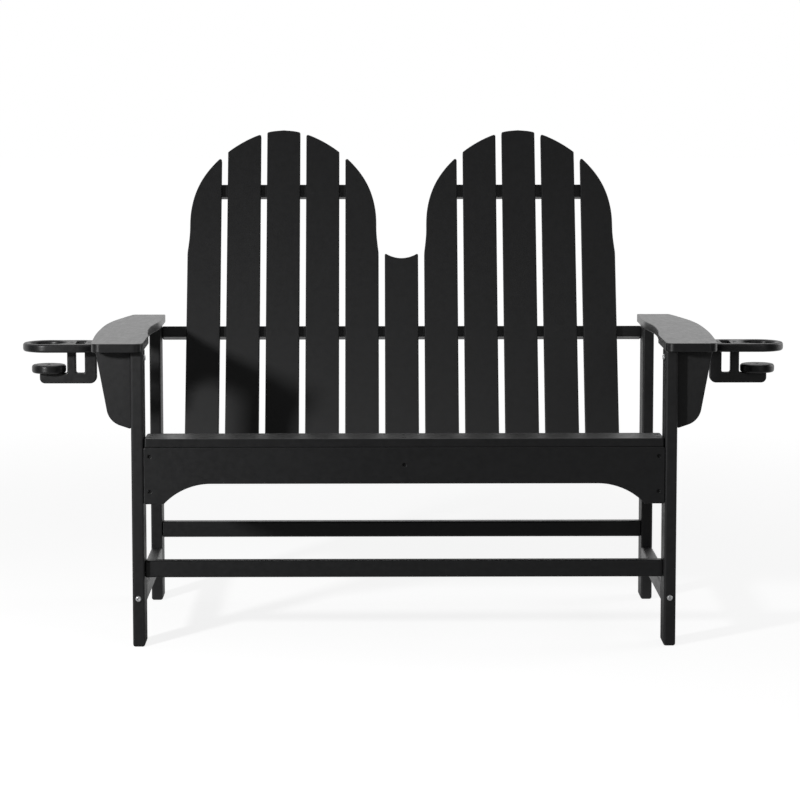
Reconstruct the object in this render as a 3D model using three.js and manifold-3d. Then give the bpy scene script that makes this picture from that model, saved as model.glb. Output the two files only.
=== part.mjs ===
// Adirondack loveseat in black poly lumber: two fan backs joined by a short centre slat, a slatted
// contoured seat between plain board legs, flat scalloped arms on tapered brackets, and a cup holder
// with a phone slot under each arm. Millimetres, X to the sitter's left as seen from the front view's
// right, Y from front to back, Z up. Inside the assembly group Y is counted from the front faces of
// the front legs; the outer group then centres the whole bench over its own origin.
import * as THREE from "three";
import Module from "manifold-3d";
import { mergeVertices } from "three/addons/utils/BufferGeometryUtils.js";

const wasm = await Module();
wasm.setup();

// Lumber stock and the way its edges are eased
const board = 19;
const frame_stock = 27;
const edge_round = 2.6;
const corner_round = 3.2;
const fit_gap = 0.3;
const edge_steps = 2;
const corner_steps = 2;
const sharp_turn = 0.35;

// Frame of legs
const back_side_gap = 60.3;
const leg_depth = 80;
const leg_height = 664;
const leg_setback = 580;

// Stretchers near the floor
const stretcher_height = 38;
const cross_stretcher_z = 153;
const side_stretcher_z = 90;
const front_stretcher_y = 22;
const rear_stretcher_inset = 8;

// Seat
const seat_board_count = 5;
const seat_board_gap = 8;
const seat_side_gap = 2;
const seat_underside_z = 449;
const seat_front_y = 2;
const seat_to_back = 17.9;
const seat_tilts = [0, 8, 10, 11, 11];
const side_rail_height = 92;
const centre_rail_height = 76;
const rear_rail_height = 68;
const rear_rail_clearance = 2.5;

// Front apron
const apron_height = 127;
const apron_arch_rise = 45.5;
const apron_arch_radius = 144;
const apron_foot = 44;
const apron_steps = 10;

// Back slats and their rails, counted along the lean
const slat_width = 81;
const slat_gap = 14.7;
const fan_slats = 5;
const back_lean = 21.47;
const back_inset = 50;
const back_z = 450;
const slat_foot = 148;
const fan_height = 730.7;
const fan_arch_height = 322.7;
const centre_slat_height = 414.3;
const centre_slat_dip = 12.8;
const slat_corner = 4;
const arch_samples = 24;
const dip_samples = 6;
const arm_rail_height = 27;
const arm_rail_drop = 2.3;
const foot_rail_height = 60;
const foot_rail_at = -134;
const fan_rail_height = 32;
const fan_rail_drop = 167.2;
const fan_rail_inset = 36;

// Half of a fan's top edge from its crown to where the outer slat has its full width:
// share of the half width, then share of the arch height below the crown
const arch_shares = [
  [0, 0],
  [0.1294, 0.0096],
  [0.2587, 0.0366],
  [0.3795, 0.0765],
  [0.4873, 0.1227],
  [0.5865, 0.1751],
  [0.6727, 0.229],
  [0.7503, 0.2891],
  [0.815, 0.3499],
  [0.8689, 0.414],
  [0.9099, 0.4788],
  [0.9401, 0.5448],
  [0.9603, 0.6105],
  [0.972, 0.6728],
  [0.9763, 0.7366],
  [0.9767, 0.7955],
  [0.9806, 0.8513],
  [0.9901, 0.9194],
  [0.9987, 0.9706],
  [1, 1],
];

// Arms
const arm_front_overhang = 38;
const arm_rear_overhang = 51;
const arm_inset = 3.3;
const arm_width = 125;
const arm_front_corner = 20;
const arm_rear_corner = 11;
const arm_curve_samples = 12;

// Arm outline: share of the arm's length from its front, then share of its width from the inner edge
const arm_outer_shares = [
  [0, 0.9],
  [0.0775, 0.935],
  [0.281, 0.987],
  [0.441, 1],
  [0.625, 0.98],
  [0.751, 0.914],
  [0.838, 0.83],
  [0.893, 0.764],
  [0.937, 0.716],
  [1, 0.625],
];
const arm_inner_shares = [
  [1, 0],
  [0.766, 0.004],
  [0.669, 0.05],
  [0.582, 0.095],
  [0.48, 0.1],
  [0.378, 0.07],
  [0.281, 0.02],
  [0.242, 0.008],
  [0, 0.008],
];

// Tapered brackets under the arms' front ends
const bracket_setback = 24;
const bracket_top_width = 79.2;
const bracket_foot_width = 50.2;
const bracket_height = 177.5;
const bracket_foot_slope = 17;
const bracket_round = 24;

// Cup holders
const cup_plate_width = 116.6;
const cup_plate_tuck = 23.7;
const cup_plate_y = 150;
const cup_hole = 83;
const cup_from_slot = 71.8;
const round_steps = 12;
const slot_width = 20.5;
const slot_length = 74;
const slot_from_end = 58.5;
const slot_round = 5;
const hanger_window_width = 20;
const hanger_inner_post = 27;
const hanger_outer_post = 20;
const hanger_past_cup = 20.8;
const hanger_bar_height = 24;
const hanger_drop = 74.5;
const hanger_round = 15;
const coaster_width = 78;
const coaster_thickness = 19;
const coaster_steps = 28;

// Bolts
const bolt_shank = 8;
const bolt_head = 13;
const bolt_head_height = 4.5;
const bolt_recess = 6.4;
const bolt_recess_depth = 2.4;
const bolt_bite = 38;
const bolt_clearance = 0.4;
const bolt_steps = 12;
const bolt_sink_margin = 1;
const arm_bolt_drop = 18;

const lean = THREE.MathUtils.degToRad(back_lean);
const slat_pitch = slat_width + slat_gap;
const slat_total = 2 * fan_slats + 1;
const leg_inside = (slat_total * slat_pitch - slat_gap) / 2 + back_side_gap;
const leg_face = leg_inside + frame_stock;
const back_y = leg_setback - back_inset;
const slatPlane = (z) => back_y + (z - back_z) * Math.tan(lean);
const sides = [
  { word: "left", sign: -1 },
  { word: "right", sign: 1 },
];

const lumber = () => new THREE.MeshStandardMaterial({ color: 0x1b1c1e, roughness: 0.52, metalness: 0 });
const steel = () => new THREE.MeshStandardMaterial({ color: 0xc4c7cb, roughness: 0.22, metalness: 1 });

// A flat outline with its sharp corners rounded off
function eased(points, radius) {
  const out = [];
  const turn_of = (a, b, c) => {
    const u = b.clone().sub(a).normalize();
    const v = c.clone().sub(b).normalize();
    return Math.atan2(u.cross(v), u.dot(v));
  };
  points.forEach((b, i) => {
    const a = points[(i + points.length - 1) % points.length];
    const c = points[(i + 1) % points.length];
    const turn = turn_of(a, b, c);
    const size = b.radius ?? radius;
    if (Math.abs(turn) < sharp_turn || size === 0) {
      out.push(b);
      return;
    }
    const room = Math.min(a.distanceTo(b), b.distanceTo(c)) / 2;
    const back = Math.min(size * Math.tan(Math.abs(turn) / 2), room);
    const r = back / Math.tan(Math.abs(turn) / 2);
    const into = b.clone().sub(a).normalize();
    const start = b.clone().addScaledVector(into, -back);
    const side = new THREE.Vector2(-into.y, into.x).multiplyScalar(Math.sign(turn));
    const centre = start.clone().addScaledVector(side, r);
    const steps = Math.max(corner_steps, Math.round((Math.abs(turn) * corner_steps * 2 * Math.sqrt(r / corner_round)) / Math.PI));
    for (let k = 0; k <= steps; k++) {
      out.push(start.clone().sub(centre).rotateAround(new THREE.Vector2(), (turn * k) / steps).add(centre));
    }
  });
  return out;
}

const at = (x, y, radius) => Object.assign(new THREE.Vector2(x, y), radius === undefined ? {} : { radius });
const rectangle = (width, height) => [at(0, 0), at(width, 0), at(width, height), at(0, height)];

// A board cut to an outline, with its long edges eased
function plank(points, thickness, radius = corner_round, holes = []) {
  const shape = new THREE.Shape(eased(points, radius));
  holes.forEach((hole) => shape.holes.push(new THREE.Path(hole)));
  const geometry = new THREE.ExtrudeGeometry(shape, {
    depth: thickness - 2 * edge_round,
    bevelEnabled: true,
    bevelThickness: edge_round,
    bevelSize: edge_round,
    bevelOffset: -edge_round,
    bevelSegments: edge_steps,
    curveSegments: 1,
  });
  return geometry.translate(0, 0, edge_round);
}

// The three ways a board is laid: flat, facing the front, or on edge facing the side
const lying = (points, thickness, ...rest) => plank(points, thickness, ...rest);
const facing = (points, thickness, ...rest) =>
  plank(points, thickness, ...rest).rotateX(Math.PI / 2).translate(0, thickness, 0);
const edgewise = (points, thickness, ...rest) =>
  plank(points, thickness, ...rest).rotateX(Math.PI / 2).rotateZ(Math.PI / 2);

const pieces = new Map();
function piece(parent, name, geometry, material, x = 0, y = 0, z = 0) {
  const mesh = new THREE.Mesh(geometry, material);
  mesh.name = name;
  mesh.position.set(x, y, z);
  parent.add(mesh);
  pieces.set(name, mesh);
  return mesh;
}

// Mirroring an outline also turns its direction of travel back round
const mirrored = (points, sign) =>
  sign > 0 ? points : points.map((p) => at(-p.x, p.y, p.radius)).reverse();

const bench = new THREE.Group();
const back = new THREE.Group();
back.position.set(0, back_y, back_z);
back.rotation.x = -lean;
bench.add(back);

// Legs: plain boards on edge, their tops under the arms
sides.forEach(({ word, sign }) => {
  const x = sign > 0 ? leg_inside : -leg_face;
  const section = rectangle(frame_stock, leg_depth);
  piece(bench, "front_leg_" + word, lying(section, leg_height), lumber(), x);
  piece(bench, "rear_leg_" + word, lying(section, leg_height), lumber(), x, leg_setback);
});

// Stretchers between the legs
const cross_length = 2 * (leg_inside - fit_gap);
const cross_section = rectangle(frame_stock, stretcher_height);
[
  ["front_stretcher", front_stretcher_y],
  ["rear_stretcher", leg_setback + rear_stretcher_inset],
].forEach(([name, y]) => {
  piece(bench, name, edgewise(cross_section, cross_length), lumber(), -cross_length / 2, y, cross_stretcher_z);
});
const side_length = leg_setback - leg_depth - 2 * fit_gap;
sides.forEach(({ word, sign }) => {
  const x = sign > 0 ? leg_inside : -leg_face;
  const bar = facing(cross_section, side_length);
  piece(bench, "side_stretcher_" + word, bar, lumber(), x, leg_depth + fit_gap, side_stretcher_z);
});

// Seat contour: the line of the boards' undersides from front to back, its pitch chosen so that the
// boards fill the room between the apron and the leaning slats
const tilt_sum = (along) =>
  seat_tilts.slice(0, seat_board_count).reduce((sum, tilt) => sum + along(THREE.MathUtils.degToRad(tilt)), 0);
const seat_start = seat_front_y - seat_board_gap / 2;
const seat_room = slatPlane(seat_underside_z + board) - seat_to_back - seat_start;
const seat_pitch = seat_room / (tilt_sum(Math.cos) + tilt_sum(Math.sin) * Math.tan(lean));
const seat_board_depth = seat_pitch - seat_board_gap;
const contour = [at(seat_start, seat_underside_z)];
seat_tilts.slice(0, seat_board_count).forEach((tilt) => {
  const a = THREE.MathUtils.degToRad(tilt);
  const last = contour[contour.length - 1];
  contour.push(at(last.x + seat_pitch * Math.cos(a), last.y - seat_pitch * Math.sin(a)));
});
const contour_z = (y) => {
  let i = 1;
  while (i < contour.length - 1 && contour[i].x < y) i++;
  const a = contour[i - 1];
  const b = contour[i];
  return a.y + ((b.y - a.y) * (y - a.x)) / (b.x - a.x);
};

// Seat boards lie on that line, the front one level and the rest sloping down to the back
const seat_length = 2 * (leg_inside - seat_side_gap);
for (let i = 0; i < seat_board_count; i++) {
  const tilt = THREE.MathUtils.degToRad(seat_tilts[i]);
  const strip = edgewise(rectangle(seat_board_depth, board), seat_length);
  const start = contour[i];
  const y = start.x + (seat_board_gap / 2) * Math.cos(tilt);
  const z = start.y - (seat_board_gap / 2) * Math.sin(tilt);
  const mesh = piece(bench, "seat_board_" + (i + 1), strip, lumber(), -seat_length / 2, y, z);
  mesh.rotation.x = -tilt;
}

// Seat rails: shaped to the contour on top, one inside each pair of legs and one in the middle
function seatRail(from_y, to_y, height) {
  const stops = contour.map((p) => p.x).filter((y) => y > from_y + board && y < to_y - board);
  const top = [from_y, ...stops, to_y].map((y) => at(y, contour_z(y) - fit_gap));
  const foot = [at(from_y, seat_underside_z - height), at(to_y, contour_z(to_y) - height)];
  return [foot[0], foot[1], ...top.reverse()];
}
const rail_front = board + fit_gap;
const side_rail_end = leg_setback + leg_depth - edge_round;
sides.forEach(({ word, sign }) => {
  const x = sign > 0 ? leg_inside - fit_gap - frame_stock : fit_gap - leg_inside;
  const rail = edgewise(seatRail(rail_front, side_rail_end, side_rail_height), frame_stock);
  piece(bench, "seat_rail_" + word, rail, lumber(), x);
});
const rear_rail_foot = contour[contour.length - 1].y - rear_rail_height;
const rear_rail_y = slatPlane(rear_rail_foot) - rear_rail_clearance - board;
const centre_rail = edgewise(seatRail(rail_front, rear_rail_y - fit_gap, centre_rail_height), frame_stock);
piece(bench, "seat_rail_centre", centre_rail, lumber(), -frame_stock / 2);

// Rear seat rail: carries the last seat board and the end of the centre rail
const between_rails = 2 * (leg_inside - frame_stock - 2 * fit_gap);
const rear_rail_shape = [
  at(0, -rear_rail_height),
  at(board, -rear_rail_height),
  at(board, contour_z(rear_rail_y + board) - contour_z(rear_rail_y)),
  at(0, 0),
];
const rear_rail_z = contour_z(rear_rail_y) - fit_gap;
const rear_rail = edgewise(rear_rail_shape, between_rails);
piece(bench, "seat_rail_rear", rear_rail, lumber(), -between_rails / 2, rear_rail_y, rear_rail_z);

// Front apron with its long shallow arch
const apron_half = leg_inside - fit_gap;
const arch_sweep = Math.acos(1 - apron_arch_rise / apron_arch_radius);
const arch_run = apron_arch_radius * Math.sin(arch_sweep);
const apron_top = seat_underside_z - fit_gap;
const apron_foot_z = apron_top - apron_height;
const arch_side = [];
for (let k = 0; k <= apron_steps; k++) {
  const a = arch_sweep * (1 - k / apron_steps);
  const x = apron_half - apron_foot - arch_run + apron_arch_radius * Math.sin(a);
  arch_side.push(at(x, apron_foot_z + apron_arch_rise - apron_arch_radius * (1 - Math.cos(a)), k === 0 ? slot_round : 0));
}
const apron_points = [
  ...mirrored(arch_side, -1).reverse(),
  ...arch_side.slice().reverse(),
  at(apron_half, apron_foot_z),
  at(apron_half, apron_top),
  at(-apron_half, apron_top),
  at(-apron_half, apron_foot_z),
];
piece(bench, "front_apron", facing(apron_points, board), lumber());

// Back slats: two fans of five round a short centre slat, all standing in one leaning plane
const fan_half = (fan_slats * slat_pitch - slat_gap) / 2;
const fan_centre = ((fan_slats + 1) * slat_pitch) / 2;
const arch = new THREE.SplineCurve(arch_shares.map(([x, drop]) => at(x * fan_half, fan_height - drop * fan_arch_height)));
const half_arch = arch.getSpacedPoints(arch_samples);
const fan_edge = [...half_arch.slice(1).map((p) => at(-p.x, p.y)).reverse(), ...half_arch];
const heightAt = (x) => {
  let i = 1;
  while (i < fan_edge.length - 1 && fan_edge[i].x < x) i++;
  const a = fan_edge[i - 1];
  const b = fan_edge[i];
  return a.y + ((b.y - a.y) * (x - a.x)) / (b.x - a.x);
};
function fanSlat(left, right) {
  const margin = 2.5 * slat_corner;
  const top = fan_edge.filter((p) => p.x > left + margin && p.x < right - margin);
  const outer_left = left <= -fan_half + margin;
  const outer_right = right >= fan_half - margin;
  const left_top = outer_left ? fan_edge.filter((p) => p.x <= left + margin) : [at(left, heightAt(left))];
  const right_top = outer_right ? fan_edge.filter((p) => p.x >= right - margin) : [at(right, heightAt(right))];
  return [at(left, -slat_foot), at(right, -slat_foot), ...[...left_top, ...top, ...right_top].reverse()];
}
for (let i = 0; i < slat_total; i++) {
  const name = "back_slat_" + String(i + 1).padStart(2, "0");
  const middle = (i - fan_slats) * slat_pitch;
  let points;
  if (i === fan_slats) {
    const dip = [];
    for (let k = 0; k <= dip_samples; k++) {
      const t = (2 * k) / dip_samples - 1;
      dip.push(at((-t * slat_width) / 2, centre_slat_height - centre_slat_dip * (1 - t * t)));
    }
    points = [at(-slat_width / 2, -slat_foot), at(slat_width / 2, -slat_foot), ...dip];
  } else {
    const local = middle + Math.sign(fan_slats - i) * fan_centre;
    points = fanSlat(local - slat_width / 2, local + slat_width / 2).map((p) => at(p.x + middle - local, p.y));
  }
  piece(back, name, facing(points, board, slat_corner), lumber());
}

// Rails behind the slats: at the seat, at arm height between the rear legs, and one across each fan
const behind = board + fit_gap;
const foot_rail = edgewise(rectangle(frame_stock, foot_rail_height), between_rails);
piece(back, "back_rail_foot", foot_rail, lumber(), -between_rails / 2, behind, foot_rail_at);
const arm_rail = edgewise(rectangle(frame_stock, arm_rail_height), cross_length);
const arm_rail_z = leg_height - arm_rail_drop - back_z + behind * Math.sin(lean);
const arm_rail_at = arm_rail_z / Math.cos(lean) - arm_rail_height;
piece(back, "back_rail_arm", arm_rail, lumber(), -cross_length / 2, behind, arm_rail_at);
const fan_rail_length = 2 * (fan_half - fan_rail_inset);
const fan_rail_at = fan_height - fan_rail_drop;
sides.forEach(({ word, sign }) => {
  const rail = edgewise(rectangle(board, fan_rail_height), fan_rail_length);
  piece(back, "back_rail_fan_" + word, rail, lumber(), sign * fan_centre - fan_rail_length / 2, behind, fan_rail_at);
});

// Arms: one board each, bowed outside and scalloped inside
const arm_length = arm_front_overhang + leg_setback + leg_depth + arm_rear_overhang;
const arm_inner = leg_inside - arm_inset - fit_gap;
const armPoints = (shares) => {
  const corner = (s) => at(arm_inner + s[1] * arm_width, s[0] * arm_length - arm_front_overhang);
  const curve = new THREE.SplineCurve(shares.map(corner)).getPoints(arm_curve_samples);
  return curve.map((p) => at(p.x, p.y));
};
const arm_outline = [...armPoints(arm_outer_shares), ...armPoints(arm_inner_shares)];
const outer_last = arm_curve_samples;
arm_outline[0].radius = arm_front_corner;
arm_outline[outer_last].radius = arm_rear_corner;
arm_outline[outer_last + 1].radius = corner_round;
arm_outline[arm_outline.length - 1].radius = arm_front_corner;
sides.forEach(({ word, sign }) => {
  piece(bench, "arm_" + word, lying(mirrored(arm_outline, sign), board), lumber(), 0, 0, leg_height + fit_gap);
});

// Brackets: boards tapering down the outside of the front legs
const bracket_x = leg_face + fit_gap;
const bracket_points = [
  at(bracket_x, leg_height - bracket_height),
  at(bracket_x + bracket_foot_width, leg_height - bracket_height + bracket_foot_slope, bracket_round),
  at(bracket_x + bracket_top_width, leg_height),
  at(bracket_x, leg_height),
];
sides.forEach(({ word, sign }) => {
  const shape = mirrored(bracket_points, sign);
  piece(bench, "arm_bracket_" + word, facing(shape, board), lumber(), 0, bracket_setback);
});

// Cup holders: an oval plate with a cup hole and a phone slot, a hanger board below it and a coaster
const cup_y = cup_plate_y + cup_plate_width / 2;
const plate_round = cup_plate_width / 2;
const plate_inner = arm_inner + arm_width - cup_plate_tuck;
const slot_at = plate_inner + slot_from_end;
const cup_hole_at = slot_at + cup_from_slot;
const circle = (x, y, radius, steps) =>
  Array.from({ length: steps }, (_, k) => {
    const a = (2 * Math.PI * k) / steps;
    return at(x + radius * Math.cos(a), y + radius * Math.sin(a));
  });
function oval() {
  const out = [];
  for (let k = 0; k <= round_steps; k++) {
    const a = Math.PI * (k / round_steps - 1 / 2);
    out.push(at(cup_hole_at + plate_round * Math.cos(a), plate_round * Math.sin(a)));
  }
  for (let k = 0; k <= round_steps; k++) {
    const a = Math.PI * (k / round_steps + 1 / 2);
    out.push(at(plate_inner + plate_round + plate_round * Math.cos(a), plate_round * Math.sin(a)));
  }
  return out;
}
const slot_points = eased(
  [
    at(slot_at - slot_width / 2, -slot_length / 2),
    at(slot_at + slot_width / 2, -slot_length / 2),
    at(slot_at + slot_width / 2, slot_length / 2),
    at(slot_at - slot_width / 2, slot_length / 2),
  ],
  slot_round,
);
const cup_top = leg_height;
const plate_z = cup_top - board;
const hanger_foot = plate_z - fit_gap - hanger_drop;
const hanger_top = plate_z - fit_gap;
const bar_top = hanger_foot + hanger_bar_height;
const window_inner = slot_at - hanger_window_width / 2;
const window_outer = slot_at + hanger_window_width / 2;
const hanger_inner = window_inner - hanger_inner_post;
const hanger_outer = cup_hole_at + hanger_past_cup;
const post_outer = window_outer + hanger_outer_post;
const hanger_points = [
  at(hanger_inner, hanger_foot, hanger_round),
  at(hanger_outer, hanger_foot, hanger_round),
  at(hanger_outer, bar_top),
  at(post_outer, bar_top),
  at(post_outer, hanger_top),
  at(window_outer, hanger_top),
  at(window_outer, bar_top),
  at(window_inner, bar_top),
  at(window_inner, hanger_top),
  at(hanger_inner, hanger_top),
];
sides.forEach(({ word, sign }) => {
  const cup_round = circle(cup_hole_at, 0, cup_hole / 2, 2 * round_steps);
  const holes = [cup_round, slot_points].map((hole) => mirrored(hole, sign));
  const plate = lying(mirrored(oval(), sign), board, corner_round, holes);
  piece(bench, "cup_plate_" + word, plate, lumber(), 0, cup_y, plate_z);

  const hanger = facing(mirrored(hanger_points, sign), board);
  piece(bench, "cup_hanger_" + word, hanger, lumber(), 0, cup_y - board / 2);

  const coaster = lying(circle(sign * cup_hole_at, 0, coaster_width / 2, coaster_steps), coaster_thickness);
  piece(bench, "cup_coaster_" + word, coaster, lumber(), 0, cup_y, bar_top + fit_gap);
});

// Booleans: geometry to a solid and back
function solidOf(geometry, matrix = new THREE.Matrix4()) {
  const plain = geometry.clone().applyMatrix4(matrix);
  plain.deleteAttribute("normal");
  plain.deleteAttribute("uv");
  const whole = mergeVertices(plain, fit_gap / 100);
  return new wasm.Manifold(
    new wasm.Mesh({
      numProp: 3,
      vertProperties: new Float32Array(whole.attributes.position.array),
      triVerts: new Uint32Array(whole.index.array),
    }),
  );
}
function geometryOf(solid) {
  const mesh = solid.getMesh();
  const geometry = new THREE.BufferGeometry();
  geometry.setAttribute("position", new THREE.BufferAttribute(new Float32Array(mesh.vertProperties), 3));
  geometry.setIndex(new THREE.BufferAttribute(new Uint32Array(mesh.triVerts), 1));
  return geometry;
}
function drill(name, matrix, depth, width) {
  const mesh = pieces.get(name);
  const bit = new THREE.CylinderGeometry(width / 2 + bolt_clearance, width / 2 + bolt_clearance, depth, bolt_steps);
  bit.translate(0, -depth / 2, 0);
  const local = mesh.matrixWorld.clone().invert().multiply(matrix);
  mesh.geometry = geometryOf(solidOf(mesh.geometry).subtract(solidOf(bit, local)));
}

// Button-head bolts with a driver recess; each one bores its way through the pieces that it joins, and
// a sunk one also has a wide seat for its head
bench.updateMatrixWorld(true);
const bolt_profile = (length) => [
  at(0, -length),
  at(bolt_shank / 2, -length),
  at(bolt_shank / 2, 0),
  at(bolt_head / 2, 0),
  at(bolt_head / 2, bolt_head_height / 3),
  at((bolt_head * 3) / 8, (bolt_head_height * 5) / 6),
  at(bolt_recess / 2, bolt_head_height),
  at(bolt_recess / 2, bolt_head_height - bolt_recess_depth),
  at(0, bolt_head_height - bolt_recess_depth),
];
function bolt(name, x, y, z, heading, through, into, sink = 0) {
  const length = through + bolt_bite;
  const mesh = piece(bench, name, new THREE.LatheGeometry(bolt_profile(length), bolt_steps), steel(), x, y, z);
  mesh.quaternion.setFromUnitVectors(new THREE.Vector3(0, 1, 0), heading);
  mesh.position.addScaledVector(heading, -sink);
  mesh.updateMatrixWorld(true);
  const back_off = new THREE.Matrix4().makeTranslation(0, edge_round, 0);
  const bore = mesh.matrixWorld.clone().multiply(back_off);
  into.forEach((target) => drill(target, bore, length + edge_round + bolt_clearance, bolt_shank));
  if (sink) {
    const above = new THREE.Matrix4().makeTranslation(0, sink + edge_round, 0);
    drill(into[0], mesh.matrixWorld.clone().multiply(above), sink + edge_round + fit_gap, bolt_head);
  }
}

const to_front = new THREE.Vector3(0, -1, 0);
const to_back = new THREE.Vector3(0, 1, 0);
const side_bolt_z = side_stretcher_z + stretcher_height / 2;
const cross_bolt_z = cross_stretcher_z + stretcher_height / 2;
const sunk = bolt_head_height + fit_gap + bolt_sink_margin;
sides.forEach(({ word, sign }) => {
  const out = new THREE.Vector3(sign, 0, 0);
  const inward = new THREE.Vector3(-sign, 0, 0);
  const x_mid = sign * (leg_face - frame_stock / 2);
  const seat_face = sign * (leg_face + fit_gap);
  const front = "front_leg_" + word;
  const rear = "rear_leg_" + word;
  bolt("side_bolt_front_" + word, x_mid, -fit_gap, side_bolt_z, to_front, leg_depth, [front, "side_stretcher_" + word]);
  const behind_leg = leg_setback + leg_depth + fit_gap;
  bolt("side_bolt_rear_" + word, x_mid, behind_leg, side_bolt_z, to_back, leg_depth, [rear, "side_stretcher_" + word]);
  const front_mid = front_stretcher_y + frame_stock / 2;
  bolt("stretcher_bolt_front_" + word, seat_face, front_mid, cross_bolt_z, out, frame_stock, [front, "front_stretcher"], sunk);
  const rear_mid = leg_setback + rear_stretcher_inset + frame_stock / 2;
  bolt("stretcher_bolt_rear_" + word, seat_face, rear_mid, cross_bolt_z, out, frame_stock, [rear, "rear_stretcher"], sunk);
  const bracket_y = bracket_setback + board / 2;
  const inner_face = sign * (leg_inside - fit_gap);
  const bracket_z = leg_height - arm_bolt_drop;
  bolt("bracket_bolt_" + word, inner_face, bracket_y, bracket_z, inward, frame_stock, [front, "arm_bracket_" + word]);
});

const loveseat = new THREE.Group();
loveseat.add(bench);
const extent = new THREE.Box3().setFromObject(loveseat, true);
bench.position.set(0, -(extent.min.y + extent.max.y) / 2, -extent.min.z);

export default loveseat;
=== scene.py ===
# %% [markdown]
# # A black poly lumber loveseat with cup holders
# The real bench is sawn and routed from solid black plastic lumber: flat boards with eased edges,
# screwed and bolted together. Nothing on it is soft and nothing moves. So this lesson makes every
# board as a board: an outline, a thickness and a rounded edge, laid where the fixed frame has it.

# %% Load the fixed frame and keep its box
import math
import random

import bpy
from mathutils import Euler, Matrix, Vector
from mathutils.geometry import tessellate_polygon


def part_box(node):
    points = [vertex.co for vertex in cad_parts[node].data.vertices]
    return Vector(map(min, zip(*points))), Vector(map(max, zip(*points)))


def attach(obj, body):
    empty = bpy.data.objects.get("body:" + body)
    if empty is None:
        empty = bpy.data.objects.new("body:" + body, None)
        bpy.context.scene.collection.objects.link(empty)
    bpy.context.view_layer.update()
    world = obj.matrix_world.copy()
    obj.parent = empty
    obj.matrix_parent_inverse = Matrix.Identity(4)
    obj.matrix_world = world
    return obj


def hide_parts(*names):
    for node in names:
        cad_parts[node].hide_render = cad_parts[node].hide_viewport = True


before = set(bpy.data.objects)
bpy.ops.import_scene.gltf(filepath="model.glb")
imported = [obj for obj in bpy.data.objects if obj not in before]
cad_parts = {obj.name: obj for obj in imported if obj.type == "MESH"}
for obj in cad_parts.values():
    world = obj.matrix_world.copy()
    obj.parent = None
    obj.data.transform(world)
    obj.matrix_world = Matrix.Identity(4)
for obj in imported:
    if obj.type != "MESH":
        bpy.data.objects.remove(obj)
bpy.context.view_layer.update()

# %% [markdown]
# ## Sizes
# A maker's cutting list comes first. The sizes are in millimetres, as on a drawing, and one number
# turns them into the scene's metres. The bench's own zero is the front face of the front legs, so
# the frame tells where that lies. Four cutters ease the boards' edges: the usual one, a crisp one
# for the seat, the apron, the arms and the back's rails, a round one for the legs and the cup
# holders, and a touch of one for drilled holes.

# %% Cutting list
MM = 0.001
BOARD, STOCK, GAP = 19.0, 27.0, 0.3
EASE, CRISP_EASE, LEG_EASE, DRILLED = 3.0, 1.8, 5.5, 0.8
CORNER = 4.4
LEG_DEPTH, LEG_HEIGHT, LEG_SETBACK = 80.0, 664.0, 580.0
SLAT, SLAT_GAP, FAN_SLATS, SLAT_TO_LEG = 81.0, 14.7, 5, 60.3
LEAN = math.radians(21.47)
BACK_Y, BACK_Z = 530.0, 450.0
PITCH = SLAT + SLAT_GAP
SLATS = 2 * FAN_SLATS + 1
LEG_INSIDE = (SLATS * PITCH - SLAT_GAP) / 2 + SLAT_TO_LEG
LEG_FACE = LEG_INSIDE + STOCK
FRONT_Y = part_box("front_leg_left")[0][1] / MM
SIDES = (("left", -1), ("right", 1))
BENCH = Matrix.Scale(MM, 4) @ Matrix.Translation((0, FRONT_Y, 0))
BACK = BENCH @ Matrix.Translation((0, BACK_Y, BACK_Z)) @ Matrix.Rotation(-LEAN, 4, "X")
print("legs stand", round(2 * LEG_FACE), "mm apart outside, front face at y =", round(FRONT_Y, 2))

# %% [markdown]
# ## Outlines
# A routed board is a flat outline with its corners taken off. An outline here is a list of points,
# each with the radius of its corner, because the arm's front corners are much rounder than a
# leg's. The first helper marks the sharp corners and drops points that an arc would swallow. The
# next one says how large an arc a corner has room for: it may use half of a side that it shares
# with another arc, and nearly all of any other side.

# %% Mark the corners
SHARP_TURN, SWALLOWED = 0.35, 1.15
SHARED_SIDE, FREE_SIDE = 0.5, 0.95


def turn_at(points, i):
    n = len(points)
    a, b, c = (Vector(points[(i + k) % n][:2]) for k in (-1, 0, 1))
    u, v = (b - a).normalized(), (c - b).normalized()
    return math.atan2(u.cross(v), u.dot(v)), u, v


def eased(points, radius=CORNER):
    marked = []
    for i, p in enumerate(points):
        turn = abs(turn_at(points, i)[0])
        size = p[2] if len(p) > 2 else radius
        marked.append((p[0], p[1], size if turn > SHARP_TURN else 0.0, turn))
    kept = []
    for p in marked:
        near = [q for q in marked if q[2] and q is not p
                and math.dist(p[:2], q[:2]) < SWALLOWED * q[2] * math.tan(q[3] / 2)]
        if p[2] or not near:
            kept.append(p[:3])
    return kept


def room_for_arc(outline, i, turn):
    beside = (outline[i - 1], outline[(i + 1) % len(outline)])
    spans = [math.dist(outline[i][:2], p[:2]) * (SHARED_SIDE if p[2] else FREE_SIDE) for p in beside]
    return min(outline[i][2], min(spans) / math.tan(abs(turn) / 2))


print("corners count as sharp from", round(math.degrees(SHARP_TURN)), "degrees on")

# %% [markdown]
# ## Walking an outline
# A rounded edge needs the same outline again a little further in, once for each ring of the
# rounding. Moved in this way a corner can shrink almost to a point, but the line never folds over
# itself. Each point comes with its outward direction, which later becomes its normal.

# %% Walk the outline
SMALLEST_ARC = 0.15


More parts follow.
